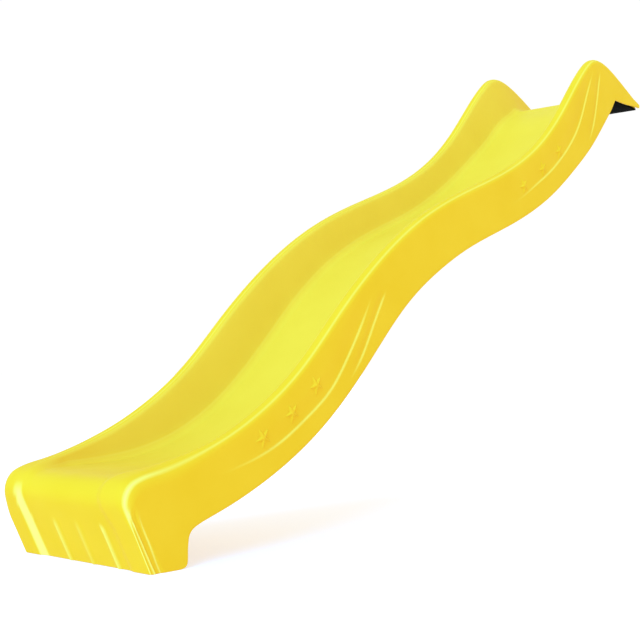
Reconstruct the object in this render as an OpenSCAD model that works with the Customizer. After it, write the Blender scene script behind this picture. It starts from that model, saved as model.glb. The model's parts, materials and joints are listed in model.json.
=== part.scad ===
/* [Slide] */
// Width over the two side walls
slide_w = 465; // [440:5:500]
// Thickness of the moulded skin
skin_t = 4.5; // [4:0.5:5.5]
// Rounding on the outer side of each rail
rail_outer_r = 18; // [14:1:20]
// Flat on top of each rail, between its two roundings
rail_flat = 4; // [2:1:8]
// Steepest lean of the chute's inner walls, from level
wall_angle = 80; // [70:1:84]
// Rounding from the chute's wall to its floor, where the chute is deep
floor_fillet = 50; // [35:5:60]

/* [Platform lip] */
// Height of the chute floor above the deck
lip_rise = 12; // [11:1:14]
// Distance from the slide's middle plane to each lip screw
lip_screw_y = 120; // [90:5:140]
// Distance from the lip's end to the lip screws
lip_screw_back = 110; // [80:5:130]
// Diameter of the lip screws
lip_screw_d = 8; // [6:1:8]
// Length of the lip screws below the deck
lip_screw_reach = 45; // [30:5:60]

/* [Screw caps] */
// Outer diameter of a screw cap
cap_d = 34; // [32:1:38]
// Height of a cap base
cap_base_h = 6; // [6:0.5:7]
// Height of a cap lid
cap_lid_h = 7.6; // [7:0.2:9]

/* [Ground brackets] */
// Length of a ground bracket along the slide
bracket_l = 84; // [76:2:88]
// Height of a ground bracket's upright leg
bracket_h = 58; // [56:1:64]
// Width of a ground bracket's lower leg
bracket_w = 50; // [45:1:60]
// Thickness of the bracket steel
bracket_t = 3; // [2:0.5:4]
// Diameter of the hole for a ground bolt
ground_hole_d = 13; // [10:1:14]
// Distance between the two screws of a bracket
bracket_pitch = 50; // [44:2:54]

/* [Hidden] */

// The side view, from the foot round the nose and up the waves to the end of the lip. Each
// station is [rail x, rail z, lower edge x, lower edge z, depth of the floor below the rail],
// with x from the nose's foremost point and the depth measured towards the lower edge.
stations = [
    [76, 0, 182, 0, 4],
    [40, 72, 187, 24, 4],
    [8, 138, 188, 46, 4],
    [0, 165, 189, 58, 4],
    [6, 190, 190, 66, 4],
    [20, 207, 192, 73, 6],
    [42, 218, 196, 80, 9],
    [100, 232, 208, 90, 24],
    [165, 247, 232, 100, 38],
    [295, 288, 325, 130, 74],
    [432, 354, 470, 189, 113],
    [580, 456, 640, 284, 144],
    [743, 612, 830, 438, 162],
    [922, 768, 1020, 619, 146],
    [1120, 900, 1205, 746, 130],
    [1337, 1002, 1400, 842, 118],
    [1577, 1097, 1645, 936, 114],
    [1848, 1240, 1930, 1074, 111],
    [1996, 1362, 2090, 1182, 126],
    [2110, 1478, 2215, 1278, 147],
    [2205, 1570, 2310, 1368, 153],
    [2262, 1614, 2365, 1424, 157],
    [2305, 1629, 2400, 1462, 143],
    [2350, 1616, 2431, 1500, 128],
    [2440, 1588, 2480, 1500, 83],
    [2540, 1557, 2560, 1500, 47],
    [2650, 1524, 2650, 1500, 12]
];
span_step = 62;
arc_steps = 3;
// Height of the platform deck that the lip rests on, and where the lip starts
lip_z = 1500;
lip_start_x = 2431;
shallow_depth = 80;
shallow_r = 8;
rail_inner_r = 18;
lip_hole_clearance = 0.5;
thread_step = 0.6;
// How far a cut runs past the face that it opens, and a joined piece past the face that it meets
over = 1;

slide_l = stations[len(stations) - 1][0];
origin_x = slide_l / 2;
lip_top_z = lip_z + lip_rise;
lip_screw_x = slide_l - lip_screw_back - origin_x;
pad_gap = 0.2;
pad_side_gap = 3;
pad_end_gap = 8;

cap_seat_t = 2.5;
cap_wall = 2;
shank_clearance = 0.4;
washer_t = 2;
lip_washer_d = 24;
screw_head_h = 5.5;
screw_head_af = 13;
lid_gap = 0.3;
lid_wall = 1.6;
lid_tab_t = 1.8;
pin_r = 1;
pin_l = 16;
pin_clearance = 0.08;
knuckle_r = 2.4;
lid_knuckle_l = 6;
knuckle_gap = 0.2;
knuckle_root = 3;
knuckle_lift = 1;
hinge_x = cap_d / 2 + 2.7;
hinge_z = lip_top_z + cap_base_h + lid_gap / 2;

boss_r = 10;
boss_h = 14;
boss_sink = 2;
insert_r = 4.5;
insert_l = 10;
insert_hole = 12;
bracket_screw_r = 3;
bracket_screw_l = 14.5;
thread_clearance = 0.05;
bracket_hole_r = 3.4;
bracket_washer_r = 7.5;
bracket_washer_t = 1.6;
bracket_head_r = 5.2;
bracket_head_h = 4;
socket_af = 5;
socket_depth = 2.4;
bracket_x = 129 - origin_x;
bracket_screw_z = 38;
inner_face_y = slide_w / 2 - skin_t;
boss_face_y = inner_face_y - boss_h;

slide_yellow = [0.94, 0.82, 0.15];
black_rubber = [0.06, 0.06, 0.06];
stainless = [0.75, 0.76, 0.78];
galvanised = [0.66, 0.68, 0.70];
brass = [0.80, 0.66, 0.32];

// A smooth curve through a list of stations: position t, from 0 to 1, along the span from b to c
function through(a, b, c, d, t) =
    0.5 * (2 * b + (c - a) * t + (2 * a - 5 * b + 4 * c - d) * t * t
    + (3 * b - a - 3 * c + d) * t * t * t);

function station_at(i, t) =
    let (last = len(stations) - 1)
    let (before = i > 0 ? stations[i - 1] : 2 * stations[0] - stations[1])
    let (after = i + 2 <= last ? stations[i + 2] : 2 * stations[last] - stations[last - 1])
    through(before, stations[i], stations[i + 1], after, t);

function span_length(i) =
    norm([stations[i + 1][0] - stations[i][0], stations[i + 1][1] - stations[i][1]]);

// Where the lower edge lies on the deck, the floor is level at the lip's height above it
function level_lip(s) =
    let (edge_z = max(0, min(s[3], lip_z)))
    let (on_lip = s[2] >= lip_start_x)
    let (drop = s[1] - lip_z - lip_rise)
    let (slant = norm([s[2] - s[0], lip_z - s[1]]) / (s[1] - lip_z))
    [s[0], max(0, s[1]), s[2], on_lip ? lip_z : edge_z, on_lip ? drop * slant : s[4]];

sections = [
    for (i = [0 : len(stations) - 2])
        let (steps = max(1, ceil(span_length(i) / span_step)))
        for (k = [0 : steps - 1])
            level_lip(station_at(i, k / steps)),
    level_lip(stations[len(stations) - 1])
];

function arc(centre, r, from, to) =
    [for (k = [0 : arc_steps])
        let (a = from + (to - from) * k / arc_steps)
        centre + r * [cos(a), sin(a)]];

// Half of a cross-section as [distance from the middle plane, height above the lower edge], from
// the lower edge over the rail to the middle of the floor. Inset moves it into the material.
function half_outline(height, depth, inset) =
    let (share = min(1, depth / shallow_depth))
    let (inner_r = shallow_r + (rail_inner_r - shallow_r) * share)
    let (fillet = shallow_r + (floor_fillet - shallow_r) * share)
    let (lean = min(wall_angle, acos(1 - depth / (inner_r + fillet))))
    let (wall = (depth - (inner_r + fillet) * (1 - cos(lean))) / sin(lean))
    let (outer_c = [slide_w / 2 - rail_outer_r, height - rail_outer_r])
    let (inner_c = [outer_c[0] - rail_flat, height - inner_r])
    let (foot = inner_c + [-inner_r * sin(lean) - wall * cos(lean),
        inner_r * cos(lean) - wall * sin(lean)])
    let (fillet_c = foot + fillet * [-sin(lean), cos(lean)])
    concat(
        [[slide_w / 2 - inset, 0]],
        arc(outer_c, rail_outer_r - inset, 0, 90),
        arc(inner_c, inner_r - inset, 90, 90 + lean),
        arc(fillet_c, fillet + inset, lean - 90, -90),
        [[0, height - depth - inset]]
    );

// One full outline, from the lower edge of one side wall over the floor to that of the other
function full_outline(height, depth, inset) =
    let (half = half_outline(height, depth, inset))
    concat(half, [for (k = [len(half) - 2 : -1 : 0]) [-half[k][0], half[k][1]]]);

function placed(section, outline) =
    let (edge = [section[2], section[3]])
    let (up = ([section[0], section[1]] - edge) / norm([section[0], section[1]] - edge))
    [for (p = outline)
        [edge[0] + up[0] * p[1] - origin_x, p[0], edge[1] + up[1] * p[1]]];

// Closed skin of one thickness, swept over all the sections: outside points, then inside points
module moulded_skin() {
    heights = [for (s = sections) norm([s[0] - s[2], s[1] - s[3]])];
    rings = [for (i = [0 : len(sections) - 1])
        concat(
            placed(sections[i], full_outline(heights[i], sections[i][4], 0)),
            placed(sections[i], full_outline(heights[i], sections[i][4], skin_t))
        )];
    ring_n = len(rings[0]);
    half_n = ring_n / 2;
    last = len(rings) - 1;
    points = [for (ring = rings) for (p = ring) p];
    function at(i, k) = i * ring_n + k;
    outside = [for (i = [0 : last - 1]) for (k = [0 : half_n - 2])
        each [[at(i, k), at(i + 1, k), at(i + 1, k + 1)], [at(i, k), at(i + 1, k + 1), at(i, k + 1)]]];
    inside = [for (i = [0 : last - 1]) for (k = [half_n : ring_n - 2])
        each [[at(i, k), at(i + 1, k + 1), at(i + 1, k)], [at(i, k), at(i, k + 1), at(i + 1, k + 1)]]];
    rims = [for (i = [0 : last - 1]) each [
        [at(i, 0), at(i, half_n), at(i + 1, half_n)],
        [at(i, 0), at(i + 1, half_n), at(i + 1, 0)],
        [at(i, half_n - 1), at(i + 1, ring_n - 1), at(i, ring_n - 1)],
        [at(i, half_n - 1), at(i + 1, half_n - 1), at(i + 1, ring_n - 1)]]];
    first_cap = [for (k = [0 : half_n - 2])
        each [[at(0, k), at(0, k + 1), at(0, half_n + k + 1)],
            [at(0, k), at(0, half_n + k + 1), at(0, half_n + k)]]];
    last_cap = [for (k = [0 : half_n - 2])
        each [[at(last, k), at(last, half_n + k + 1), at(last, k + 1)],
            [at(last, k), at(last, half_n + k), at(last, half_n + k + 1)]]];
    polyhedron(points, concat(outside, inside, rims, first_cap, last_cap), convexity = 12);
}

// Puts its children at each lip screw, with z from the top of the lip's floor
module at_lip_screws() {
    for (side = [-1, 1])
        translate([lip_screw_x, side * lip_screw_y, lip_top_z])
            children();
}

// Puts its children at each bracket screw, with z pointing outwards from the boss's inner face
module at_bracket_screws() {
    for (side = [-1, 1])
        for (along = [-1, 1])
            translate([bracket_x + along * bracket_pitch / 2, side * boss_face_y, bracket_screw_z])
                rotate([-side * 90, 0, 0])
                    children();
}

module slide_body() {
    color(slide_yellow)
        difference() {
            union() {
                moulded_skin();
                at_bracket_screws() cylinder(r = boss_r, h = boss_h + boss_sink, $fn = 48);
            }
            at_bracket_screws() translate([0, 0, -over])
                cylinder(r = insert_r, h = insert_hole + over, $fn = 48);
            at_lip_screws() translate([0, 0, -lip_rise])
                cylinder(d = lip_screw_d + 2 * lip_hole_clearance, h = 2 * lip_rise, $fn = 48);
        }
}

// Flat pad that fills the lip's underside, between the side walls and down to the deck
module lip_pad() {
    pad_l = slide_l - lip_start_x - 2 * pad_end_gap;
    pad_w = 2 * (slide_w / 2 - skin_t - pad_side_gap);
    pad_h = lip_rise - skin_t - pad_gap;
    color(black_rubber)
        difference() {
            translate([lip_start_x + pad_end_gap - origin_x, -pad_w / 2, lip_z])
                cube([pad_l, pad_w, pad_h]);
            at_lip_screws() translate([0, 0, -lip_rise - over])
                cylinder(d = lip_screw_d + 2 * lip_hole_clearance, h = lip_rise + 2 * over, $fn = 48);
        }
}

// Hexagon-headed screws: a plain shank through the lip, then the thread that goes into the deck
module lip_screws() {
    under_head = cap_seat_t + washer_t;
    color(stainless)
        at_lip_screws() {
            translate([0, 0, under_head]) cylinder(d = screw_head_af / cos(30), h = screw_head_h, $fn = 6);
            translate([0, 0, -lip_rise])
                cylinder(d = lip_screw_d, h = lip_rise + under_head + over, $fn = 48);
            translate([0, 0, -lip_rise - lip_screw_reach])
                cylinder(d = lip_screw_d - thread_step, h = lip_screw_reach + over, $fn = 48);
        }
}

// Plain washer standing on z = 0
module washer(outer_d, hole_d, thickness) {
    difference() {
        cylinder(d = outer_d, h = thickness, $fn = 64);
        translate([0, 0, -over]) cylinder(d = hole_d, h = thickness + 2 * over, $fn = 48);
    }
}

module lip_washers() {
    color(stainless)
        at_lip_screws() translate([0, 0, cap_seat_t])
            washer(lip_washer_d, lip_screw_d + shank_clearance, washer_t);
}

// Dish that the lip screw clamps down, with the two outer knuckles of the lid's hinge
module cap_base() {
    knuckle_from = lid_knuckle_l / 2 + knuckle_gap;
    knuckle_l = pin_l / 2 - knuckle_from;
    difference() {
        union() {
            cylinder(d = cap_d, h = cap_base_h, $fn = 64);
            for (side = [-1, 1])
                translate([0, side > 0 ? knuckle_from : -knuckle_from - knuckle_l, 0]) {
                    translate([hinge_x, 0, hinge_z - lip_top_z])
                        rotate([-90, 0, 0]) cylinder(r = knuckle_r, h = knuckle_l, $fn = 48);
                    translate([cap_d / 2 - knuckle_root, 0, knuckle_lift])
                        cube([hinge_x - cap_d / 2 + knuckle_root, knuckle_l, cap_base_h - knuckle_lift]);
                }
        }
        translate([0, 0, cap_seat_t]) cylinder(d = cap_d - 2 * cap_wall, h = cap_base_h, $fn = 64);
        translate([0, 0, -over]) cylinder(d = lip_screw_d + shank_clearance, h = cap_base_h, $fn = 48);
        translate([hinge_x, -pin_l, hinge_z - lip_top_z])
            rotate([-90, 0, 0]) cylinder(r = pin_r, h = 2 * pin_l, $fn = 32);
    }
}

module cap_bases() {
    color(slide_yellow) at_lip_screws() cap_base();
}

module cap_hinge_pins() {
    color(stainless)
        at_lip_screws() translate([hinge_x, -pin_l / 2, hinge_z - lip_top_z])
            rotate([-90, 0, 0]) cylinder(r = pin_r, h = pin_l, $fn = 32);
}

function dome_side(r, h, steps) = [for (k = [0 : steps]) [r * cos(90 * k / steps), h * sin(90 * k / steps)]];

// Domed lid, closed over its base, with the middle knuckle of its hinge
module cap_lid() {
    inner_dome = dome_side(cap_d / 2 - lid_wall, cap_lid_h - lid_wall, 8);
    difference() {
        union() {
            translate([0, 0, cap_base_h + lid_gap])
                rotate_extrude($fn = 64)
                    polygon(concat(dome_side(cap_d / 2, cap_lid_h, 8),
                        [for (k = [len(inner_dome) - 1 : -1 : 0]) inner_dome[k]]));
            translate([cap_d / 2 - lid_wall, -lid_knuckle_l / 2, cap_base_h + lid_gap])
                cube([hinge_x - cap_d / 2 + lid_wall, lid_knuckle_l, lid_tab_t]);
            translate([hinge_x, -lid_knuckle_l / 2, hinge_z - lip_top_z])
                rotate([-90, 0, 0]) cylinder(r = knuckle_r, h = lid_knuckle_l, $fn = 48);
        }
        translate([hinge_x, -pin_l, hinge_z - lip_top_z])
            rotate([-90, 0, 0]) cylinder(r = pin_r + pin_clearance, h = 2 * pin_l, $fn = 32);
    }
}

// The rider goes down towards -x, so the rider's left is the -y side
module cap_lid_left() {
    color(slide_yellow) translate([lip_screw_x, -lip_screw_y, lip_top_z]) cap_lid();
}

module cap_lid_right() {
    color(slide_yellow) translate([lip_screw_x, lip_screw_y, lip_top_z]) cap_lid();
}

// Steel angle: its upright leg lies against the bosses and its lower leg on the ground
module ground_brackets() {
    color(galvanised)
        for (side = [-1, 1])
            difference() {
                translate([bracket_x - bracket_l / 2, 0, 0])
                    rotate([90, 0, 90])
                        linear_extrude(height = bracket_l)
                            polygon([
                                [side * boss_face_y, 0],
                                [side * boss_face_y, bracket_h],
                                [side * (boss_face_y - bracket_t), bracket_h],
                                [side * (boss_face_y - bracket_t), bracket_t],
                                [side * (boss_face_y - bracket_w), bracket_t],
                                [side * (boss_face_y - bracket_w), 0]
                            ]);
                at_bracket_screws() translate([0, 0, -boss_h])
                    cylinder(r = bracket_hole_r, h = 2 * boss_h, $fn = 48);
                translate([bracket_x, side * (boss_face_y - bracket_w / 2 - bracket_t), -over])
                    cylinder(d = ground_hole_d, h = bracket_t + 2 * over, $fn = 48);
            }
}

module foot_inserts() {
    color(brass)
        at_bracket_screws() difference() {
            cylinder(r = insert_r, h = insert_l, $fn = 48);
            translate([0, 0, -over])
                cylinder(r = bracket_screw_r + thread_clearance, h = insert_l + 2 * over, $fn = 48);
        }
}

module bracket_washers() {
    color(stainless)
        at_bracket_screws() translate([0, 0, -bracket_t - bracket_washer_t])
            washer(2 * bracket_washer_r, 2 * bracket_hole_r, bracket_washer_t);
}

// Cap-headed screws: each head is on the inside of the foot and its tip ends inside its boss
module bracket_screws() {
    color(stainless)
        at_bracket_screws() translate([0, 0, -bracket_t - bracket_washer_t]) {
            difference() {
                translate([0, 0, -bracket_head_h])
                    cylinder(r = bracket_head_r, h = bracket_head_h, $fn = 64);
                translate([0, 0, -bracket_head_h - over])
                    cylinder(d = socket_af / cos(30), h = socket_depth + over, $fn = 6);
            }
            translate([0, 0, -over]) cylinder(r = bracket_screw_r, h = bracket_screw_l + over, $fn = 48);
        }
}

slide_body();
lip_pad();
lip_screws();
lip_washers();
cap_bases();
cap_hinge_pins();
cap_lid_left();
cap_lid_right();
ground_brackets();
foot_inserts();
bracket_washers();
bracket_screws();
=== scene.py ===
"""A one-piece moulded wave slide with its lip pad (a black sheet of painted shade under the lip), screws,
hinged screw caps and foot fixings.
"""
import json
import math

import bmesh
import bpy
import numpy as np
from mathutils import Matrix, Vector


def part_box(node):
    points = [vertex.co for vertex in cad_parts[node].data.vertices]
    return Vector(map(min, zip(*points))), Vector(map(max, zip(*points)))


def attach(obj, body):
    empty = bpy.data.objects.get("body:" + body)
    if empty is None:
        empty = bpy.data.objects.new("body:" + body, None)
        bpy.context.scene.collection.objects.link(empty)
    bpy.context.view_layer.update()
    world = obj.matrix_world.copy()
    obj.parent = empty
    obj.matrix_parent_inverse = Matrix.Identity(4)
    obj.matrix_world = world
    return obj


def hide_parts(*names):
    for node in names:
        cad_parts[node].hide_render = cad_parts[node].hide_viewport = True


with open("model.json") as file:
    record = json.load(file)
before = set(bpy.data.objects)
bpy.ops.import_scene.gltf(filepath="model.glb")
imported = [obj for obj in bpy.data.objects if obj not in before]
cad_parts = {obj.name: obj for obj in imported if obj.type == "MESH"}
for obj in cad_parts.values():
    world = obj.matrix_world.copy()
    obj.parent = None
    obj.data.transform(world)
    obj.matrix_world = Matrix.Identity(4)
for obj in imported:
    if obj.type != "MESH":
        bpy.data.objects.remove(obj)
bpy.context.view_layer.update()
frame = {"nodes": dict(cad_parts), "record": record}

MM = 0.001
BODY_LOW, BODY_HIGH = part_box("slide_body")
NOSE_X = BODY_LOW.x
HALF_W = BODY_HIGH.y / MM
SLIDE_L = (BODY_HIGH.x - NOSE_X) / MM
DECK_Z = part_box("lip_pad")[0].z / MM
FLOOR_TOP_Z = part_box("cap_bases")[0].z / MM

# ---------------------------------------------------------------- the slide's side view, in mm
# Each station is [rail x, rail z, lower edge x, lower edge z, depth of the floor below the rail].
# x is measured from the nose's foremost point. The first rows round off the heel's corner. Most rows
# were read off the photo's outline, carried onto the side plane by a scratch program through a fitted
# camera, and then adjusted against overlays.
STATIONS = np.array([
    [76, 0, 168, 0, 7],
    [66, 20, 181, 4, 7],
    [54, 44, 187, 13, 7],
    [40, 72, 188, 27, 7],
    [8, 138, 188, 46, 7],
    [0, 165, 189, 58, 7],
    [6, 190, 190, 66, 8],
    [20, 207, 192, 73, 9],
    [42, 218, 196, 80, 12],
    [100, 232, 208, 90, 25],
    [165, 247, 232, 100, 38],
    [295, 288, 325, 130, 74],
    [432, 354, 470, 189, 113],
    [580, 456, 640, 284, 144],
    [743, 612, 830, 438, 162],
    [922, 768, 1020, 619, 146],
    [1120, 900, 1205, 746, 130],
    [1337, 1002, 1400, 842, 118],
    [1577, 1097, 1645, 936, 114],
    [1846, 1246, 1930, 1074, 114],
    [1990, 1372, 2090, 1182, 131],
    [2100, 1491, 2215, 1278, 154],
    [2192, 1582, 2310, 1368, 163],
    [2247, 1619, 2365, 1424, 166],
    [2297, 1629, 2400, 1462, 152],
    [2350, 1624, 2431, 1500, 138],
    [2440, 1600, 2480, 1500, 95],
    [2540, 1565, 2560, 1500, 55],
    [2650, 1524, 2650, 1500, 12],
], float)
# Rows of STATIONS: where the foot's front ends, where the exit floor starts, and the ears' front
FRONT_ROW, EXIT_ROW, EAR_ROW = 6, 10, 24
LIP_START = 2431
LIP_SKIRT_START = LIP_START + 60
LIP_SKIRT_RISE = 8
# The floor comes level with the lip between these distances from the lip's start
LEVEL_SPAN = (-50, 4)
SHALLOWEST = 3.0
SKIN = 4.5
RIM_R = 2
# The skin stands this far outside the CAD model's sides, on the chute and up at the lip, and the
# distances along the rail between which it changes
FLARE = (2, 6)
FLARE_SPAN = (1300, 2600)
# This far outside the CAD model's sides, a face is split as the side's, and a point moved as the side's
SIDE_SPLIT, SIDE_MOVED = 1.6, 1.7

# Rail and corner shapes, on the chute and on the foot's front
RAIL_OUTER = (18, 8)
RAIL_FLAT = (4, 44)
RAIL_INNER = (18, 40)
FLOOR_FILLET = (30, 40)
WALL_LEAN = math.radians(80)
# Where the floor is less than this far below the rail, the two inner roundings shrink towards these
SHALLOW_DEPTH, SHALLOW_RAIL_INNER, SHALLOW_FILLET = 80, 8, 14
# On a shallow side, the two roundings take this much of its depth, and the straight wall the rest
ROUNDED_SHARE = 0.8
# From the front's end and the exit's start: where the foot's shape turns into the chute's
FRONT_TO_CHUTE = (-12, -10)
# The nose's rolled edge has its corners rounded this much more than the foot's front below it. That
# grows between two distances from the front's end, and fades from there to beyond the exit's start.
NOSE_CORNER_EXTRA = 26
ROLL_GROWS = (-110, -10)
ROLL_FADES = (30, 160)

# How many steps each stretch of half an outline has, from the lower rim to the middle of the floor
STEPS = {"rim": 3, "side": 16, "corner": 6, "flat": 4, "turn": 7, "wall": 6, "fillet": 8, "floor": 8}

# Distances between sections: round the nose, how much more on the chute, and how much less at the ears
NOSE_STEP, CHUTE_STEP_EXTRA, EAR_STEP_LESS = 4.5, 8, 4.5
NOSE_REACH, EAR_REACH = (240, 420), 130
CUT_END_STEPS = (0.4, 1.2, 2.4)

# How much painted light pales the skin, from 0 to 1: painted highlights on the rails' outer edges along
# the chute and the foot, on their inner edges and on the fillet's upper edge, painted light on the side
# walls and on the floor, and painted highlights on the raised lines and rear edges
PAINTED_CORNER_HIGHLIGHT = (0.38, 0.9)
PAINTED_TURN_HIGHLIGHT = 0.3
PAINTED_WALL_LIGHT = 0.2
PAINTED_FILLET_HIGHLIGHT = 0.22
PAINTED_FLOOR_LIGHT = 0.13
PAINTED_LEDGE_HIGHLIGHT = 0.5
PAINTED_REAR_EDGE_HIGHLIGHT = 0.7

# Raised lines on each side, [x, z] from top to bottom, with the line's height and its fading width.
# Their points, and the stars' places below, come from the photo in the same way as the stations.
LEDGES = [
    ([(880, 665), (829, 572), (765, 477), (699, 398), (610, 333), (503, 271), (400, 232),
      (276, 203)], 3.2, 62),
    ([(946, 680), (883, 573), (828, 481), (772, 416)], 2.6, 26),
    ([(2250, 1592), (2180, 1455), (2126, 1353), (2044, 1257), (1967, 1192), (1893, 1140), (1823, 1099),
      (1694, 1026), (1624, 992)], 3.2, 62),
    ([(2302, 1590), (2272, 1467), (2228, 1345), (2188, 1285)], 2.6, 26),
]
# A raised line comes and goes over these shares of its length, ends over these distances past its last
# point, and has its edge this sharp, its top this wide and its painted highlight line this thin
LEDGE_COMES, LEDGE_GOES, LEDGE_PAST_END = (0, 0.16), (0.66, 1), (4, 20)
LEDGE_SHARPNESS, LEDGE_TOP, LEDGE_HIGHLIGHT_HALF = 2.5, 7, 2.6
STAR_PLACES = [(437, 284), (544, 342), (638, 412), (1718, 1072), (1850, 1149), (1968, 1230)]
STAR_OUTER, STAR_INNER, STAR_H = 29, 10.5, 6.5
# How much a star's edge and tip are softened: 0 leaves them sharp
STAR_SOFTNESS = 0.012

# Ribs on the foot's front: distance from the middle plane, half width, height, and where they fade out
RIB_PLACES = (-120, -31, 58)
RIB_HALF, RIB_H = 8.5, 3.4
RIB_TOP = (88, 116)
RIB_CREST_HALF = 2.6
RIB_ZONE = 150

# Just behind the foot's front corners: a groove, and a set-in band with a painted highlight line along
# each of its edges
GROOVE_AT, GROOVE_HALF, GROOVE_DEPTH = 7.0, 2.2, 1.5
BAND_START, BAND_END, BAND_DEPTH = (15, 19), (36, 42), 2.2
BAND_TOP = (132, 165)
FRONT_EDGE_AT, EDGE_HALF = 12.5, 2.4
# The rear edge's place on the ground and at a height, and where it fades out
REAR_EDGE_AT, REAR_EDGE_HEIGHT, REAR_EDGE_TOP = (30, 42), 98, (95, 150)
CORNER_ZONE, FOOT_SIDE_ZONE = 9, 60
# A painted highlight on the inner flank of one bead, between these distances from the middle plane
FLANK_START, FLANK_END = (142, 150), (166, 176)
FLANK_ZONE = 30
# Where each of these fades out, as distances from the front's end
GROOVE_ENDS, BAND_ENDS, EDGE_ENDS, FLANK_ENDS = (-6, 30), (-40, -5), (-30, 6), (-40, 4)

# The bosses inside the foot, in mm: bore, shoulder and body radii, and where the root flares
BOSS_BORE_DEPTH = 12
BOSS_SHOULDER_R, BOSS_R, BOSS_FLARE_R, BOSS_ROOT_R = 9, 10, 11, 14
BOSS_STEPS = 32


def smooth(low, high, value):
    """0 below low, 1 above high, and an even S between them."""
    t = np.clip((value - low) / (high - low), 0, 1)
    return t * t * (3 - 2 * t)


def mix(pair, share):
    """From the pair's first value to its second."""
    return pair[0] + (pair[1] - pair[0]) * share


def cubic_through(knots, values, at):
    """A natural cubic spline through values at knots."""
    n = len(knots)
    gap = np.diff(knots)
    system = np.eye(n)
    right = np.zeros_like(values)
    for i in range(1, n - 1):
        system[i, i - 1:i + 2] = gap[i - 1], 2 * (gap[i - 1] + gap[i]), gap[i]
        right[i] = 6 * ((values[i + 1] - values[i]) / gap[i] - (values[i] - values[i - 1]) / gap[i - 1])
    bend = np.linalg.solve(system, right)
    i = np.clip(np.searchsorted(knots, at) - 1, 0, n - 2)
    a = (at - knots[i])[:, None]
    b = (knots[i + 1] - at)[:, None]
    h = gap[i][:, None]
    return ((bend[i] * b ** 3 + bend[i + 1] * a ** 3) / (6 * h)
            + (values[i] / h - bend[i] * h / 6) * b + (values[i + 1] / h - bend[i + 1] * h / 6) * a)


def curve_points(points, step):
    """Points every step along a smooth curve through a few given ones."""
    points = np.array(points, float)
    knots = np.concatenate([[0], np.cumsum(np.linalg.norm(np.diff(points, axis=0), axis=1))])
    return cubic_through(knots, points, np.linspace(0, knots[-1], max(3, int(knots[-1] / step))))


RAIL_KNOTS = np.concatenate([[0], np.cumsum(np.linalg.norm(np.diff(STATIONS[:, :2], axis=0), axis=1))])
FRONT_END = RAIL_KNOTS[FRONT_ROW]
EXIT_START = RAIL_KNOTS[EXIT_ROW]
RAIL_END = RAIL_KNOTS[-1]


def before_nose(span, s):
    """1 up the foot's front, falling to 0 between two distances from the front's end."""
    return 1 - smooth(FRONT_END + span[0], FRONT_END + span[1], s)


def section_places():
    """Distances along the rail: close together round the nose and the ears, wider on the chute."""
    places = [0.0, *CUT_END_STEPS]
    ear = RAIL_KNOTS[EAR_ROW]
    while places[-1] < RAIL_END - 18:
        at = places[-1]
        at_ear = math.exp(-((at - ear) / EAR_REACH) ** 2)
        step = NOSE_STEP + CHUTE_STEP_EXTRA * smooth(*NOSE_REACH, at) - EAR_STEP_LESS * at_ear
        places.append(at + step)
    places += [RAIL_END - step for step in reversed(CUT_END_STEPS)] + [RAIL_END]
    if len(places) % 2 == 0:
        places.insert(4, 0.5 * (places[3] + places[4]))
    return np.array(places)


def make_sections():
    """One entry for each section: where its lower edge is, which way is up, and its sizes in mm."""
    places = section_places()
    rows = cubic_through(RAIL_KNOTS, STATIONS, places)
    rail_x, rail_z, edge_x, edge_z, depth = rows.T.copy()
    rail_z = np.maximum(rail_z, 0)
    edge_z = np.clip(edge_z, 0, DECK_Z)
    on_lip = edge_x >= LIP_START
    edge_z[on_lip] = DECK_Z + LIP_SKIRT_RISE * smooth(LIP_SKIRT_START, SLIDE_L, edge_x[on_lip])
    height = np.hypot(rail_x - edge_x, rail_z - edge_z)
    up_x, up_z = (rail_x - edge_x) / height, (rail_z - edge_z) / height
    level_depth = (rail_z - FLOOR_TOP_Z) / np.maximum(up_z, 0.05)
    level = smooth(LIP_START + LEVEL_SPAN[0], LIP_START + LEVEL_SPAN[1], edge_x)
    depth = depth * (1 - level) + level_depth * level
    front = 1 - smooth(FRONT_END + FRONT_TO_CHUTE[0], EXIT_START + FRONT_TO_CHUTE[1], places)
    roll_left = 1 - smooth(FRONT_END + ROLL_FADES[0], EXIT_START + ROLL_FADES[1], places)
    roll = (1 - before_nose(ROLL_GROWS, places)) * roll_left
    half_w = HALF_W + mix(FLARE, smooth(*FLARE_SPAN, places))
    return [dict(edge=(edge_x[i], edge_z[i]), up=(up_x[i], up_z[i]), height=height[i],
                 depth=max(depth[i], SHALLOWEST), half_w=half_w[i], s=places[i],
                 front=front[i], roll=roll[i])
            for i in range(len(places))]


def arc(centre, radius, start, end, steps):
    """Points on an arc between two angles in degrees, both ends included."""
    angles = np.radians(np.linspace(start, end, steps + 1))
    return [(centre[0] + radius * math.cos(a), centre[1] + radius * math.sin(a)) for a in angles]


def between(start, end, steps):
    """The points that split a straight stretch into steps, without its ends."""
    start, end = np.array(start), np.array(end)
    return [tuple(start + (end - start) * k / steps) for k in range(1, steps)]


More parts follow.
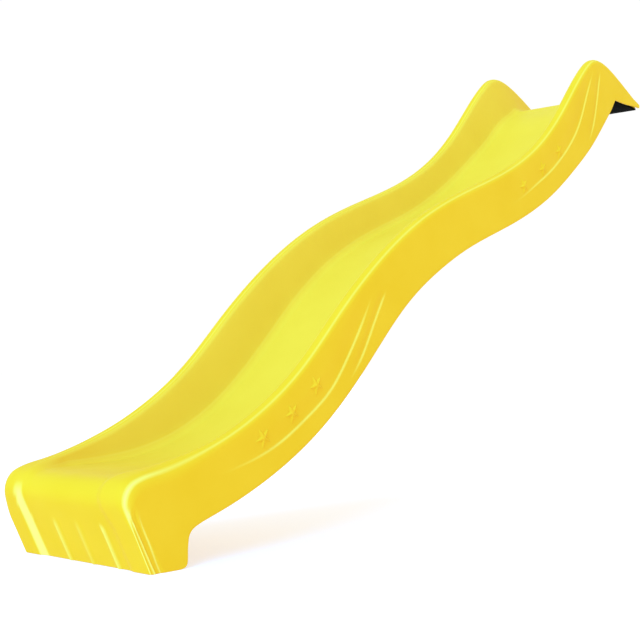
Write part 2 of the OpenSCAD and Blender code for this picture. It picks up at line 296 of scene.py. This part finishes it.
def half_outline(section, inset):
    """[distance from the middle plane, height above the lower edge], from the rim to the middle."""
    height, depth, front = section["height"], section["depth"], section["front"]
    half_w = section["half_w"]
    share = min(1.0, depth / SHALLOW_DEPTH)
    outer_r = min(mix(RAIL_OUTER, front) + NOSE_CORNER_EXTRA * section["roll"], 0.45 * height)
    inner_r = mix((mix((SHALLOW_RAIL_INNER, RAIL_INNER[0]), share), RAIL_INNER[1]), front)
    fillet = mix((mix((SHALLOW_FILLET, FLOOR_FILLET[0]), share), FLOOR_FILLET[1]), front)
    lean = min(WALL_LEAN, math.acos(max(-1.0, 1 - ROUNDED_SHARE * depth / (inner_r + fillet))))
    wall = max(0.0, (depth - (inner_r + fillet) * (1 - math.cos(lean))) / math.sin(lean))
    outer_c = (half_w - outer_r, height - outer_r)
    inner_c = (outer_c[0] - mix(RAIL_FLAT, front), height - inner_r)
    foot = (inner_c[0] - inner_r * math.sin(lean) - wall * math.cos(lean),
            inner_c[1] + inner_r * math.cos(lean) - wall * math.sin(lean))
    fillet_c = (foot[0] - fillet * math.sin(lean), foot[1] + fillet * math.cos(lean))
    lean_deg = math.degrees(lean)
    rim = min(RIM_R, 0.2 * height)
    points = arc((half_w - rim - inset, rim), rim, -90, 0, STEPS["rim"])
    points += between((half_w - inset, rim), (half_w - inset, height - outer_r), STEPS["side"])
    points += arc(outer_c, outer_r - inset, 0, 90, STEPS["corner"])
    points += between((outer_c[0], height - inset), (inner_c[0], height - inset), STEPS["flat"])
    points += arc(inner_c, inner_r - inset, 90, 90 + lean_deg, STEPS["turn"])
    fillet_points = arc(fillet_c, fillet + inset, lean_deg - 90, -90, STEPS["fillet"])
    points += between(points[-1], fillet_points[0], STEPS["wall"]) + fillet_points
    middle = (0.0, points[-1][1])
    return points + between(points[-1], middle, STEPS["floor"]) + [middle]


def full_outline(section, inset):
    """Both halves of a section's outline, from one lower rim over the floor to the other."""
    half = half_outline(section, inset)
    return half + [(-y, h) for y, h in reversed(half[:-1])]


def painted_light_outline(front):
    """How strongly painted highlights and painted light pale each point of a section's outline, from 0 to
    1.
    """
    half = np.zeros(sum(STEPS.values()) + 1)
    corner = STEPS["rim"] + STEPS["side"] + STEPS["corner"] // 2
    turn = STEPS["rim"] + STEPS["side"] + STEPS["corner"] + STEPS["flat"] + 2
    fillet = -STEPS["floor"] - STEPS["fillet"]
    half[corner] = mix(PAINTED_CORNER_HIGHLIGHT, front)
    half[turn] = PAINTED_TURN_HIGHLIGHT * (1 - front)
    half[turn + 2:] = PAINTED_WALL_LIGHT * (1 - front)
    half[fillet:] = PAINTED_FLOOR_LIGHT * (1 - front)
    half[fillet + 1] = PAINTED_FILLET_HIGHLIGHT * (1 - front)
    return np.concatenate([half, half[-2::-1]])


def placed(section, outline):
    """Points in metres in the shared frame, for an outline of one section."""
    edge, up = section["edge"], section["up"]
    return [(NOSE_X + (edge[0] + up[0] * h) * MM, y * MM, (edge[1] + up[1] * h) * MM) for y, h in outline]


# ---------------------------------------------------------------- moulded detail on the outer skin

def ledge_offset(x, z):
    """The sides' raised lines: above each line the side is set in, and comes back out further up.

    Gives the offset, and how strong the painted highlight along each line is.
    """
    total, painted_light = np.zeros_like(x), np.zeros_like(x)
    for points, height, width in LEDGES:
        line = curve_points(points, 4)
        along = np.diff(line, axis=0, append=2 * line[-1:] - line[-2:-1])
        along /= np.linalg.norm(along, axis=1)[:, None]
        reach = 1.6 * width
        near = np.flatnonzero((x > line[:, 0].min() - reach) & (x < line[:, 0].max() + reach)
                              & (z > line[:, 1].min() - reach) & (z < line[:, 1].max() + reach))
        if not len(near):
            continue
        away = np.stack([x[near], z[near]], 1)[:, None, :] - line[None, :, :]
        closest = (away ** 2).sum(2).argmin(1)
        rows = np.arange(len(near))
        gap = away[rows, closest]
        way = along[closest]
        above = way[:, 1] * gap[:, 0] - way[:, 0] * gap[:, 1]
        past_end = np.abs((gap * way).sum(1))
        share = closest / (len(line) - 1)
        fade = smooth(*LEDGE_COMES, share) * (1 - smooth(*LEDGE_GOES, share))
        fade = fade * (1 - smooth(*LEDGE_PAST_END, past_end))
        set_in = smooth(-LEDGE_SHARPNESS, LEDGE_SHARPNESS, above) * (1 - smooth(LEDGE_TOP, width, above))
        total[near] -= height * fade * set_in
        # painted highlight: a pale line along the ledge's lit edge
        painted_light_amount = PAINTED_LEDGE_HIGHLIGHT * fade * np.exp(-((above - 0.5) / LEDGE_HIGHLIGHT_HALF) ** 2)
        painted_light[near] = np.maximum(painted_light[near], painted_light_amount)
    return total, painted_light


def star_offset(x, z):
    """Raised five-pointed stars, each a low pyramid over its outline, with softened edges."""
    total = np.zeros_like(x)
    sector = math.pi / 5
    for cx, cz in STAR_PLACES:
        r = np.hypot(x - cx, z - cz)
        turn = np.mod(np.arctan2(z - cz, x - cx) + math.pi / 2, 2 * sector)
        turn = np.minimum(turn, 2 * sector - turn)
        inner = np.array([STAR_INNER * math.cos(sector), STAR_INNER * math.sin(sector)])
        side = inner - np.array([STAR_OUTER, 0])
        edge_r = STAR_OUTER * side[1] / (side[1] * np.cos(turn) - side[0] * np.sin(turn))
        rise = 1 - r / edge_r
        crown = np.sqrt(np.clip(rise, 0, 1) * 0.9 + STAR_SOFTNESS) - math.sqrt(STAR_SOFTNESS)
        total += STAR_H * crown * (rise > 0)
    return total


def foot_side_offset(q, s, z):
    """The set-in band and the thin groove just behind the foot's front corners."""
    band = (smooth(*BAND_START, q) - smooth(*BAND_END, q)) * (1 - smooth(*BAND_TOP, z))
    band = band * before_nose(BAND_ENDS, s)
    groove = np.exp(-((q - GROOVE_AT) / GROOVE_HALF) ** 2) * before_nose(GROOVE_ENDS, s)
    return -BAND_DEPTH * band - GROOVE_DEPTH * groove


def rib_offset(y, z, s):
    """Upright ribs on the foot's front, fading out at their tops, and the painted highlight along their
    crests.
    """
    total, painted_light = np.zeros_like(y), np.zeros_like(y)
    for place in RIB_PLACES:
        across = np.clip(np.abs(y - place) / RIB_HALF, 0, 1)
        total += RIB_H * np.cos(across * math.pi / 2) ** 2
        # painted highlight along each rib's crest
        painted_light += np.exp(-((y - place) / RIB_CREST_HALF) ** 2)
    upright = (1 - smooth(*RIB_TOP, z)) * (s < FRONT_END)
    return total * upright, painted_light * upright


def foot_highlights(y, q, z, s):
    """Painted highlight lines just behind the front corners, and a painted highlight on the inner flank
    of one bead.
    """
    at_corner = (np.abs(y) > HALF_W - CORNER_ZONE) * before_nose(EDGE_ENDS, s)
    front_edge = np.exp(-((q - FRONT_EDGE_AT) / EDGE_HALF) ** 2) * at_corner
    from_rear_edge = q - mix(REAR_EDGE_AT, z / REAR_EDGE_HEIGHT)
    rear_edge = PAINTED_REAR_EDGE_HIGHLIGHT * np.exp(-(from_rear_edge / EDGE_HALF) ** 2) * at_corner
    rear_edge = rear_edge * (1 - smooth(*REAR_EDGE_TOP, z))
    flank = smooth(*FLANK_START, y) * (1 - smooth(*FLANK_END, y))
    flank = flank * (q < FLANK_ZONE) * before_nose(FLANK_ENDS, s)
    return np.maximum(np.maximum(front_edge, rear_edge), flank)


def build_slide():
    """The slide's skin: a fine outer grid, a coarser inner one, the rims between them, and the detail."""
    sections = make_sections()
    rows = len(sections)
    outlines = [full_outline(section, 0) for section in sections]
    across = len(outlines[0])
    mesh = bmesh.new()
    q_layer = mesh.verts.layers.float.new("below_rail")
    s_layer = mesh.verts.layers.float.new("along_rail")
    outer_layer = mesh.verts.layers.float.new("outer_skin")
    painted_light_layer = mesh.verts.layers.float.new("painted_light")
    outer = []
    for section, outline in zip(sections, outlines):
        row = []
        # painted highlights and painted light along the outline, kept on each outer point
        painted_light_line = painted_light_outline(section["front"])
        for point, (_, h), painted_light in zip(placed(section, outline), outline, painted_light_line):
            vert = mesh.verts.new(point)
            vert[q_layer] = section["height"] - h
            vert[s_layer] = section["s"]
            vert[outer_layer] = 1
            vert[painted_light_layer] = painted_light
            row.append(vert)
        outer.append(row)
    for i in range(rows - 1):
        for k in range(across - 1):
            mesh.faces.new((outer[i][k], outer[i + 1][k], outer[i + 1][k + 1], outer[i][k + 1]))
    inner = {}
    for i in range(0, rows, 2):
        points = placed(sections[i], full_outline(sections[i], SKIN))
        for k in range(0, across, 2):
            inner[i, k] = mesh.verts.new(points[k])
    last = across - 1
    end = rows - 1
    for i in range(0, rows - 2, 2):
        for k in range(0, across - 2, 2):
            mesh.faces.new((inner[i, k], inner[i, k + 2], inner[i + 2, k + 2], inner[i + 2, k]))
        mesh.faces.new((outer[i + 2][0], outer[i + 1][0], outer[i][0], inner[i, 0], inner[i + 2, 0]))
        mesh.faces.new((outer[i][last], outer[i + 1][last], outer[i + 2][last],
                        inner[i + 2, last], inner[i, last]))
    for k in range(0, across - 2, 2):
        mesh.faces.new((outer[0][k], outer[0][k + 1], outer[0][k + 2], inner[0, k + 2], inner[0, k]))
        mesh.faces.new((outer[end][k + 2], outer[end][k + 1], outer[end][k],
                        inner[end, k], inner[end, k + 2]))
    bmesh.ops.recalc_face_normals(mesh, faces=mesh.faces)
    refine_details(mesh, outer_layer, s_layer)
    add_details(mesh, q_layer, s_layer, outer_layer, painted_light_layer)
    add_bosses(mesh)
    data = bpy.data.meshes.new("slide_shell")
    mesh.to_mesh(data)
    mesh.free()
    return data


def local(vert_co):
    """[x from the nose, y, z] in mm."""
    return np.array([(vert_co[0] - NOSE_X) / MM, vert_co[1] / MM, vert_co[2] / MM])


def refine_details(mesh, outer_layer, s_layer):
    """Splits the faces round the stars, the raised lines and the foot's front, to give them shape."""
    lines = np.concatenate([curve_points(points, 6) for points, _, _ in LEDGES])
    stars = np.array(STAR_PLACES, float)

    def split(wanted):
        faces = [f for f in mesh.faces if f.verts[0][outer_layer] > 0.5 and f.verts[2][outer_layer] > 0.5]
        centres = np.array([local(f.calc_center_median()) for f in faces])
        along = np.array([f.verts[0][s_layer] for f in faces])
        keep = np.flatnonzero(wanted(centres, along))
        edges = {e for i in keep for e in faces[i].edges}
        bmesh.ops.subdivide_edges(mesh, edges=list(edges), cuts=1, use_grid_fill=True)

    def on_side(c):
        return np.abs(c[:, 1]) > HALF_W + SIDE_SPLIT

    def near(c, points, reach):
        gap = np.full(len(c), 1e9)
        for point in points:
            gap = np.minimum(gap, np.hypot(c[:, 0] - point[0], c[:, 2] - point[1]))
        return gap < reach

    split(lambda c, s: on_side(c) & (near(c, stars, STAR_OUTER + 9) | near(c, lines, 15))
          | (s < FRONT_END) & (np.abs(c[:, 1]) < 160) & (c[:, 2] < RIB_TOP[1] + 6))
    split(lambda c, s: on_side(c)
          & (near(c, stars, STAR_OUTER + 5) | near(c, lines, 9) | (s < FRONT_END + 20)))
    split(lambda c, s: on_side(c) & (near(c, stars, STAR_OUTER + 2) | (s < FRONT_END) & (c[:, 0] < 100)))


def add_details(mesh, q_layer, s_layer, outer_layer, painted_light_layer):
    """Moves the outer skin along its normals for each moulded detail, and marks where highlights and
    light are painted on it.
    """
    mesh.normal_update()
    verts = [v for v in mesh.verts if v[outer_layer] > 0.5]
    place = np.array([local(v.co) for v in verts])
    x, y, z = place.T
    q = np.array([v[q_layer] for v in verts])
    s = np.array([v[s_layer] for v in verts])
    side = np.abs(y) > HALF_W + SIDE_MOVED
    foot_side = (q < FOOT_SIDE_ZONE) & (np.abs(y) > HALF_W - CORNER_ZONE)
    on_front = np.abs(y) < RIB_ZONE
    ledge, ledge_highlight = ledge_offset(x, z)
    rib, rib_highlight = rib_offset(y, z, s)
    offset = np.where(side, ledge + star_offset(x, z), 0)
    offset += np.where(foot_side, foot_side_offset(q, s, z), 0)
    offset += np.where(on_front, rib, 0)
    # painted highlights on the raised lines, rib crests and foot edges
    painted_light = np.where(side, ledge_highlight, 0) + np.where(on_front, rib_highlight, 0) + foot_highlights(y, q, z, s)
    offset -= end_rounding(np.where(s < FRONT_END, z, RIM_R))
    offset -= end_rounding(SLIDE_L - x)
    for vert, amount, value in zip(verts, offset, painted_light):
        vert.co += vert.normal * float(amount) * MM
        vert.co.z = max(vert.co.z, 0)
        vert[painted_light_layer] = min(1.0, max(vert[painted_light_layer], float(value)))


def add_bosses(mesh):
    """Four round bosses inside the foot, bored for the threaded inserts, with flared roots."""
    low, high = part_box("foot_inserts")
    middle_z = (low.z + high.z) / 2
    bore_r = (high.z - low.z) / 2
    face_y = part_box("ground_brackets")[1].y
    root_y = (HALF_W + FLARE[0] - SKIN / 2) * MM
    to_root = root_y - face_y
    profile = [(bore_r, face_y), (BOSS_SHOULDER_R * MM, face_y), (BOSS_R * MM, face_y + 1 * MM),
               (BOSS_R * MM, face_y + 0.6 * to_root), (BOSS_FLARE_R * MM, face_y + 0.78 * to_root),
               (BOSS_ROOT_R * MM, root_y), (bore_r, face_y + BOSS_BORE_DEPTH * MM)]
    turns = [2 * math.pi * k / BOSS_STEPS for k in range(BOSS_STEPS)]
    for x in (low.x + bore_r, high.x - bore_r):
        for side in (1, -1):
            rings = []
            for radius, y in profile:
                ring = [(x + radius * math.cos(turn), side * y, middle_z + radius * math.sin(turn))
                        for turn in turns]
                rings.append([mesh.verts.new(point) for point in ring])
            made = [mesh.faces.new(rings[-2]), mesh.faces.new(rings[-1])]
            for first, second in [*zip(rings[:-2], rings[1:-1]), (rings[-1], rings[0])]:
                for k in range(BOSS_STEPS):
                    after = (k + 1) % BOSS_STEPS
                    made.append(mesh.faces.new((first[k], first[after], second[after], second[k])))
            bmesh.ops.recalc_face_normals(mesh, faces=made)


def end_rounding(gap):
    """How far the skin draws in, at a distance from a cut end."""
    gap = np.clip(gap, 0, RIM_R)
    return RIM_R - np.sqrt(RIM_R ** 2 - (RIM_R - gap) ** 2)


# ---------------------------------------------------------------- materials

YELLOW = (0.85, 0.505, 0.015)
YELLOW_MOTTLE = [(0.30, (0.84, 0.493, 0.013)), (0.70, (0.86, 0.516, 0.017))]
# paler yellow for painted highlights and painted light
PAINTED_HIGHLIGHT_YELLOW = (0.92, 0.80, 0.13)
RUBBER = (0.006, 0.006, 0.006)
RUBBER_DUST = [(0.35, (0.003, 0.003, 0.001)), (0.75, (0.008, 0.007, 0.003))]


def material(name, base, rough, **inputs):
    """A Principled material and its nodes; inputs are sockets that are the same all over."""
    made = bpy.data.materials.new(name)
    made.use_nodes = True
    nodes = made.node_tree.nodes
    shader = nodes["Principled BSDF"]
    shader.inputs["Base Color"].default_value = (*base, 1)
    shader.inputs["Roughness"].default_value = rough
    for socket, value in inputs.items():
        shader.inputs[socket.replace("_", " ")].default_value = value
    made.diffuse_color = (*base, 1)
    return made, nodes, made.node_tree.links, shader


def noise_node(nodes, links, scale, detail, stretch=(1, 1, 1)):
    """Noise fixed to the object, with its scale in features for each metre."""
    coords = nodes.new("ShaderNodeTexCoord")
    mapping = nodes.new("ShaderNodeMapping")
    mapping.inputs["Scale"].default_value = stretch
    texture = nodes.new("ShaderNodeTexNoise")
    texture.inputs["Scale"].default_value = scale
    texture.inputs["Detail"].default_value = detail
    links.new(coords.outputs["Object"], mapping.inputs["Vector"])
    links.new(mapping.outputs["Vector"], texture.inputs["Vector"])
    return texture.outputs["Fac"]


def ramp_node(nodes, links, source, stops):
    """From one colour to another; stops are their two positions and colours."""
    ramp = nodes.new("ShaderNodeValToRGB")
    for element, (position, colour) in zip(ramp.color_ramp.elements, stops):
        element.position = position
        element.color = (*colour, 1)
    links.new(source, ramp.inputs["Fac"])
    return ramp.outputs["Color"]


def map_node(nodes, links, source, low, high, from_low=0.3, from_high=0.7):
    spread = nodes.new("ShaderNodeMapRange")
    spread.inputs["From Min"].default_value = from_low
    spread.inputs["From Max"].default_value = from_high
    spread.inputs["To Min"].default_value = low
    spread.inputs["To Max"].default_value = high
    links.new(source, spread.inputs["Value"])
    return spread.outputs["Result"]


def bump_node(nodes, links, shader, source, distance, strength=1.0):
    bump = nodes.new("ShaderNodeBump")
    bump.inputs["Strength"].default_value = strength
    bump.inputs["Distance"].default_value = distance
    links.new(source, bump.inputs["Height"])
    links.new(bump.outputs["Normal"], shader.inputs["Normal"])


def yellow_plastic():
    """Moulded polyethylene: even yellow with a faint mottle, with painted highlights and painted light
    mixed in where a vertex attribute says.
    """
    made, nodes, links, shader = material("yellow_plastic", YELLOW, 0.44, Specular_IOR_Level=0.03)
    colour = ramp_node(nodes, links, noise_node(nodes, links, 7, 3), YELLOW_MOTTLE)
    painted_light_amount = nodes.new("ShaderNodeAttribute")
    painted_light_amount.attribute_name = "painted_light"
    blend = nodes.new("ShaderNodeMixRGB")
    blend.inputs["Color2"].default_value = (*PAINTED_HIGHLIGHT_YELLOW, 1)
    links.new(painted_light_amount.outputs["Fac"], blend.inputs["Fac"])
    links.new(colour, blend.inputs["Color1"])
    links.new(blend.outputs["Color"], shader.inputs["Base Color"])
    rub = noise_node(nodes, links, 24, 4, (0.35, 1, 1))
    links.new(map_node(nodes, links, rub, 0.40, 0.48), shader.inputs["Roughness"])
    bump_node(nodes, links, shader, noise_node(nodes, links, 260, 2), 0.00003, 0.25)
    return made


def black_rubber():
    """Matt and nearly black, with a little dust."""
    made, nodes, links, shader = material("black_rubber", RUBBER, 0.8, Specular_IOR_Level=0.01)
    dust = noise_node(nodes, links, 30, 4)
    links.new(ramp_node(nodes, links, dust, RUBBER_DUST), shader.inputs["Base Color"])
    links.new(map_node(nodes, links, dust, 0.7, 0.9), shader.inputs["Roughness"])
    bump_node(nodes, links, shader, noise_node(nodes, links, 900, 2), 0.0001, 0.5)
    return made


def metal(name, base, rough, grain_scale, spread):
    """Bare metal whose grain darkens it by up to the spread, and makes it rougher or smoother."""
    made, nodes, links, shader = material(name, base, rough, Metallic=1.0)
    grain = noise_node(nodes, links, grain_scale, 3)
    darker = tuple(c * (1 - spread) for c in base)
    links.new(ramp_node(nodes, links, grain, [(0.3, darker), (0.7, base)]), shader.inputs["Base Color"])
    links.new(map_node(nodes, links, grain, rough * 0.7, rough * 1.4), shader.inputs["Roughness"])
    bump_node(nodes, links, shader, noise_node(nodes, links, 4 * grain_scale, 2), 0.00003, 0.4)
    return made


MATERIALS = {
    "yellow_plastic": yellow_plastic(),
    "black_rubber": black_rubber(),
    "stainless_steel": metal("stainless_steel", (0.62, 0.62, 0.63), 0.26, 700, 0.10),
    "galvanised_steel": metal("galvanised_steel", (0.52, 0.54, 0.56), 0.42, 160, 0.30),
    "brass": metal("brass", (0.72, 0.52, 0.22), 0.3, 500, 0.15),
}


def add_piece(name, data, slot, body, *nodes):
    """A smooth-shaded visual piece that rides on a body in the place of its CAD nodes."""
    piece = bpy.data.objects.new(name, data)
    bpy.context.scene.collection.objects.link(piece)
    data.materials.clear()
    data.materials.append(MATERIALS[slot])
    for polygon in data.polygons:
        polygon.use_smooth = True
        polygon.material_index = 0
    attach(piece, body)
    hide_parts(*nodes)
    return piece


# ---------------------------------------------------------------- the pieces

add_piece("slide_shell", build_slide(), "yellow_plastic", "slide", "slide_body")

# [node, the body it rides on, its edges' rounding in mm]
SMALL_PIECES = [
    # the lip pad is a black sheet under the lip, where the lip's hollow is in deep shade: painted shade
    ("lip_pad", "slide", 1.5),
    ("lip_screws", "slide", 0.25),
    ("lip_washers", "slide", 0.15),
    ("cap_bases", "slide", 0.5),
    ("cap_hinge_pins", "slide", 0.2),
    ("cap_lid_left", "left_lid", 0.6),
    ("cap_lid_right", "right_lid", 0.6),
    ("ground_brackets", "slide", 0.6),
    ("foot_inserts", "slide", 0.2),
    ("bracket_washers", "slide", 0.15),
    ("bracket_screws", "slide", 0.25),
]
SLOTS = {part["node"]: part["material_slot"] for part in frame["record"]["subparts"]}
SHARP = math.radians(28)
# A hexagon's width across flats for each 1 of its width across corners
HEXAGON_FLATS = math.cos(math.radians(30))
THREAD_PITCH, THREAD_ROOT_R, THREAD_H, THREAD_STEPS = 3, 3.6, 0.9, 24
THREAD_FOOT_HALF = 0.9
# The thread starts and ends this far from the screw's tip and the deck
THREAD_GAP = 3


def add_thread(mesh, x, y, low_z, high_z):
    """A wood-screw thread: a ridge wound round the plain shank between two heights, in metres."""
    steps = int((high_z - low_z) / THREAD_PITCH / MM) * THREAD_STEPS
    last = None
    for k in range(steps + 1):
        turn = 2 * math.pi * k / THREAD_STEPS
        z = low_z + k * THREAD_PITCH * MM / THREAD_STEPS
        grow = min(1, k / THREAD_STEPS, (steps - k) / THREAD_STEPS)
        row = []
        for radius, lift in ((THREAD_ROOT_R, -THREAD_FOOT_HALF), (THREAD_ROOT_R + THREAD_H * grow, 0),
                             (THREAD_ROOT_R, THREAD_FOOT_HALF)):
            row.append(mesh.verts.new((x + radius * MM * math.cos(turn), y + radius * MM * math.sin(turn),
                                       z + lift * MM)))
        if last:
            for i, j in ((0, 1), (1, 2), (2, 0)):
                mesh.faces.new((last[i], row[i], row[j], last[j]))
        else:
            mesh.faces.new(row)
        last = row
    mesh.faces.new(last[::-1])


def softened(node, width):
    """A copy of a CAD node with its flat faces joined up and its sharp edges rounded."""
    source = frame["nodes"][node]
    mesh = bmesh.new()
    mesh.from_mesh(source.data)
    mesh.transform(source.matrix_world)
    bmesh.ops.remove_doubles(mesh, verts=mesh.verts, dist=1e-6)
    bmesh.ops.dissolve_limit(mesh, angle_limit=math.radians(0.5), verts=mesh.verts, edges=mesh.edges)
    sharp = [e for e in mesh.edges if len(e.link_faces) == 2 and e.calc_face_angle() > SHARP]
    bmesh.ops.bevel(mesh, geom=sharp, offset=width * MM, segments=2, profile=0.5, affect="EDGES",
                    clamp_overlap=True)
    bmesh.ops.dissolve_degenerate(mesh, edges=mesh.edges, dist=1e-7)
    bmesh.ops.triangulate(mesh, faces=[f for f in mesh.faces if len(f.verts) > 4])
    if node == "lip_screws":
        low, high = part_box(node)
        for side in (low.y, high.y):
            y = side - math.copysign((high.x - low.x) * HEXAGON_FLATS / 2, side)
            add_thread(mesh, (low.x + high.x) / 2, y, low.z + THREAD_GAP * MM,
                       DECK_Z * MM - THREAD_GAP * MM)
    data = bpy.data.meshes.new(node + "_soft")
    mesh.to_mesh(data)
    mesh.free()
    return data


for node, body, width in SMALL_PIECES:
    piece = add_piece(node + "_piece", softened(node, width), SLOTS[node], body, node)
    piece.data.set_sharp_from_angle(angle=SHARP)

# ---------------------------------------------------------------- stage, light and camera

FLOOR_HALF = 60
FLOOR_GREY, FLOOR_GLOW = (0.42, 0.42, 0.42), 0.6
# The photo's camera, from the same fit
CAMERA_PLACE = (-2.864, -2.090, 0.456)
CAMERA_FORWARD = (0.7624, 0.6457, 0.0439)
CAMERA_LENS, CAMERA_SENSOR = 61.6, 36

def add_floor():
    """A wide ground that glows a little, so that it comes out white like the photo's background."""
    mesh = bmesh.new()
    bmesh.ops.create_grid(mesh, x_segments=1, y_segments=1, size=FLOOR_HALF)
    data = bpy.data.meshes.new("studio_floor")
    mesh.to_mesh(data)
    mesh.free()
    floor = bpy.data.objects.new("studio_floor", data)
    bpy.context.scene.collection.objects.link(floor)
    made, _, _, shader = material("studio_floor", FLOOR_GREY, 0.9)
    shader.inputs["Emission Color"].default_value = (1, 1, 1, 1)
    shader.inputs["Emission Strength"].default_value = FLOOR_GLOW
    data.materials.append(made)


def add_sun(name, towards, strength, spread, colour):
    """A sun that shines towards a direction, its disc as wide as the spread in degrees."""
    data = bpy.data.lights.new(name, "SUN")
    data.energy = strength
    data.angle = math.radians(spread)
    data.color = colour
    lamp = bpy.data.objects.new(name, data)
    lamp.rotation_euler = Vector(towards).to_track_quat("-Z", "Y").to_euler()
    bpy.context.scene.collection.objects.link(lamp)


def add_world(horizon, overhead):
    """White all round at eye level, and dimmer overhead."""
    world = bpy.data.worlds.new("studio")
    world.use_nodes = True
    nodes, links = world.node_tree.nodes, world.node_tree.links
    back = nodes["Background"]
    back.inputs["Color"].default_value = (1, 1, 1, 1)
    coords = nodes.new("ShaderNodeTexCoord")
    split = nodes.new("ShaderNodeSeparateXYZ")
    links.new(coords.outputs["Generated"], split.inputs["Vector"])
    strength = map_node(nodes, links, split.outputs["Z"], horizon, overhead, 0.35, 0.8)
    links.new(strength, back.inputs["Strength"])
    bpy.context.scene.world = world


def add_camera():
    """The photo's view: from in front of the foot, a little to one side, and about half a metre up."""
    data = bpy.data.cameras.new("camera")
    data.sensor_width = CAMERA_SENSOR
    data.lens = CAMERA_LENS
    data.clip_end = 200
    camera = bpy.data.objects.new("camera", data)
    forward = Vector(CAMERA_FORWARD).normalized()
    right = forward.cross(Vector((0, 0, 1))).normalized()
    up = right.cross(forward)
    turn = Matrix((right, up, -forward)).transposed()
    camera.matrix_world = Matrix.Translation(CAMERA_PLACE) @ turn.to_4x4()
    bpy.context.scene.collection.objects.link(camera)
    bpy.context.scene.camera = camera


add_floor()
add_world(horizon=1.02, overhead=0.88)
add_sun("key_left", towards=(0.80, 0.25, -0.55), strength=6.2, spread=35, colour=(0.06, 0.37, 1.0))
add_camera()
bpy.context.scene.view_settings.view_transform = "Standard"
